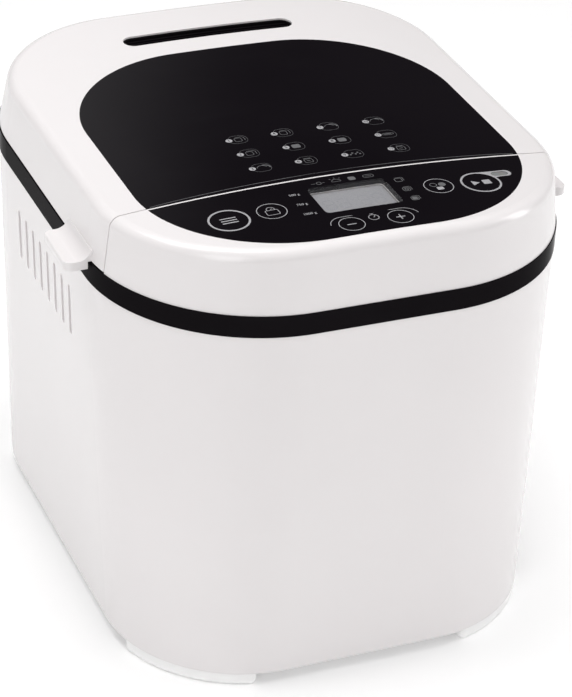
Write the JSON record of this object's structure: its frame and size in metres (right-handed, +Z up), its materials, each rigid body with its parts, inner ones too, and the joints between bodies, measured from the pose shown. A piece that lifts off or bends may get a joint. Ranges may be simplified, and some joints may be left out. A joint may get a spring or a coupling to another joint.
{
  "type": "bread machine",
  "caption": "Compact bread machine: rounded white casing, black trim band, front control housing with push buttons, hinged glass-topped lid over a baking chamber, pan and kneading drive.",
  "frame": {"origin": "centre of the footprint, on the surface that the feet stand on", "axes": "+Z up, front with the controls towards -Y, +X to the right seen from the front; left and right sides match"},
  "size_m": [0.2704, 0.302, 0.2488],
  "materials": {
    "white_shell": "glossy moulded plastic",
    "black_band": "glossy",
    "black_glass": "back-painted, polished",
    "smoked_window": "polished",
    "display_grey": "satin",
    "foot_plastic": "satin, slightly translucent",
    "inner_plastic": "fine grain",
    "lamp": "frosted",
    "circuit": "solder mask",
    "component": "moulded",
    "sheet_steel": "galvanised",
    "steel": "turned",
    "pan_coating": "non-stick coated",
    "ceramic": "unglazed",
    "silicone": "smooth",
    "belt": "moulded",
    "bearing": "sintered",
    "pulley": "moulded",
    "tube": "oxidised",
    "gland": "moulded"
  },
  "bodies": {
    "housing": {"body_shell": "white_shell", "trim_band": "black_band", "top_deck": "inner_plastic", "base_plate": "foot_plastic", "base_screws": "steel", "control_fascia": "white_shell", "control_panel": "black_glass", "lcd_window": "smoked_window", "lcd_module": "display_grey", "start_lamp": "lamp", "control_board": "circuit", "board_posts": "inner_plastic", "button_switches": "component", "buzzer": "component", "hinge_brackets": "inner_plastic", "oven_chamber": "sheet_steel", "heating_element": "tube", "element_insulators": "ceramic", "temperature_sensor": "steel", "thermal_fuse": "ceramic", "chamber_supports": "sheet_steel", "bread_pan": "pan_coating", "pan_base": "steel", "pan_seat": "sheet_steel", "pan_bush": "bearing", "spindle_bearing": "bearing", "drive_belt": "belt", "motor_housing": "sheet_steel", "motor_bracket": "sheet_steel", "run_capacitor": "component", "power_board": "circuit", "board_brackets": "sheet_steel", "cord_gland": "gland", "foot_front_left": "foot_plastic", "foot_front_right": "foot_plastic", "foot_rear_left": "foot_plastic", "foot_rear_right": "foot_plastic"},
    "lid": {"lid_frame": "white_shell", "lid_glass": "black_glass", "vent_grille": "black_band", "hinge_pins": "steel", "lid_inner": "sheet_steel", "lid_seal": "silicone"},
    "spindle": {"kneading_paddle": "pan_coating", "paddle_shaft": "steel", "wing_coupling": "steel", "drive_coupling": "component", "drive_shaft": "steel", "large_pulley": "pulley"},
    "rotor": {"motor_shaft": "steel", "small_pulley": "pulley", "cooling_fan": "inner_plastic"},
    "handle": {"pan_handle": "steel"},
    "menu_button": {"menu_button": "black_glass"},
    "crust_button": {"crust_button": "black_glass"},
    "minus_button": {"minus_button": "black_glass"},
    "plus_button": {"plus_button": "black_glass"},
    "size_button": {"size_button": "black_glass"},
    "start_button": {"start_button": "black_glass"}
  },
  "joints": [
    {"name": "lid_hinge", "type": "hinge", "parent": "housing", "child": "lid", "pos_m": [0, 0.146, 0.2195], "axis": [-1, 0, 0], "range_deg": [0, 85]},
    {"name": "spindle_spin", "type": "hinge", "parent": "housing", "child": "spindle", "pos_m": [0, 0.021, 0.05], "axis": [0, 0, 1], "continuous": true},
    {"name": "rotor_spin", "type": "hinge", "parent": "housing", "child": "rotor", "pos_m": [0, -0.112, 0.06], "axis": [0, 0, 1], "continuous": true},
    {"name": "handle_swing", "type": "hinge", "parent": "housing", "child": "handle", "pos_m": [0, 0.021, 0.186], "axis": [1, 0, 0], "range_deg": [0, 143]},
    {"name": "menu_press", "type": "slide", "parent": "housing", "child": "menu_button", "axis": [0, 0, -1], "range_m": [0, 0.001], "stiffness_N_per_m": 600},
    {"name": "crust_press", "type": "slide", "parent": "housing", "child": "crust_button", "axis": [0, 0, -1], "range_m": [0, 0.001], "stiffness_N_per_m": 600},
    {"name": "minus_press", "type": "slide", "parent": "housing", "child": "minus_button", "axis": [0, 0, -1], "range_m": [0, 0.001], "stiffness_N_per_m": 600},
    {"name": "plus_press", "type": "slide", "parent": "housing", "child": "plus_button", "axis": [0, 0, -1], "range_m": [0, 0.001], "stiffness_N_per_m": 600},
    {"name": "size_press", "type": "slide", "parent": "housing", "child": "size_button", "axis": [0, 0, -1], "range_m": [0, 0.001], "stiffness_N_per_m": 600},
    {"name": "start_press", "type": "slide", "parent": "housing", "child": "start_button", "axis": [0, 0, -1], "range_m": [0, 0.001], "stiffness_N_per_m": 600}
  ],
  "couplings": [
    {"joint": "rotor_spin", "follows": "spindle_spin", "ratio": 5}
  ]
}
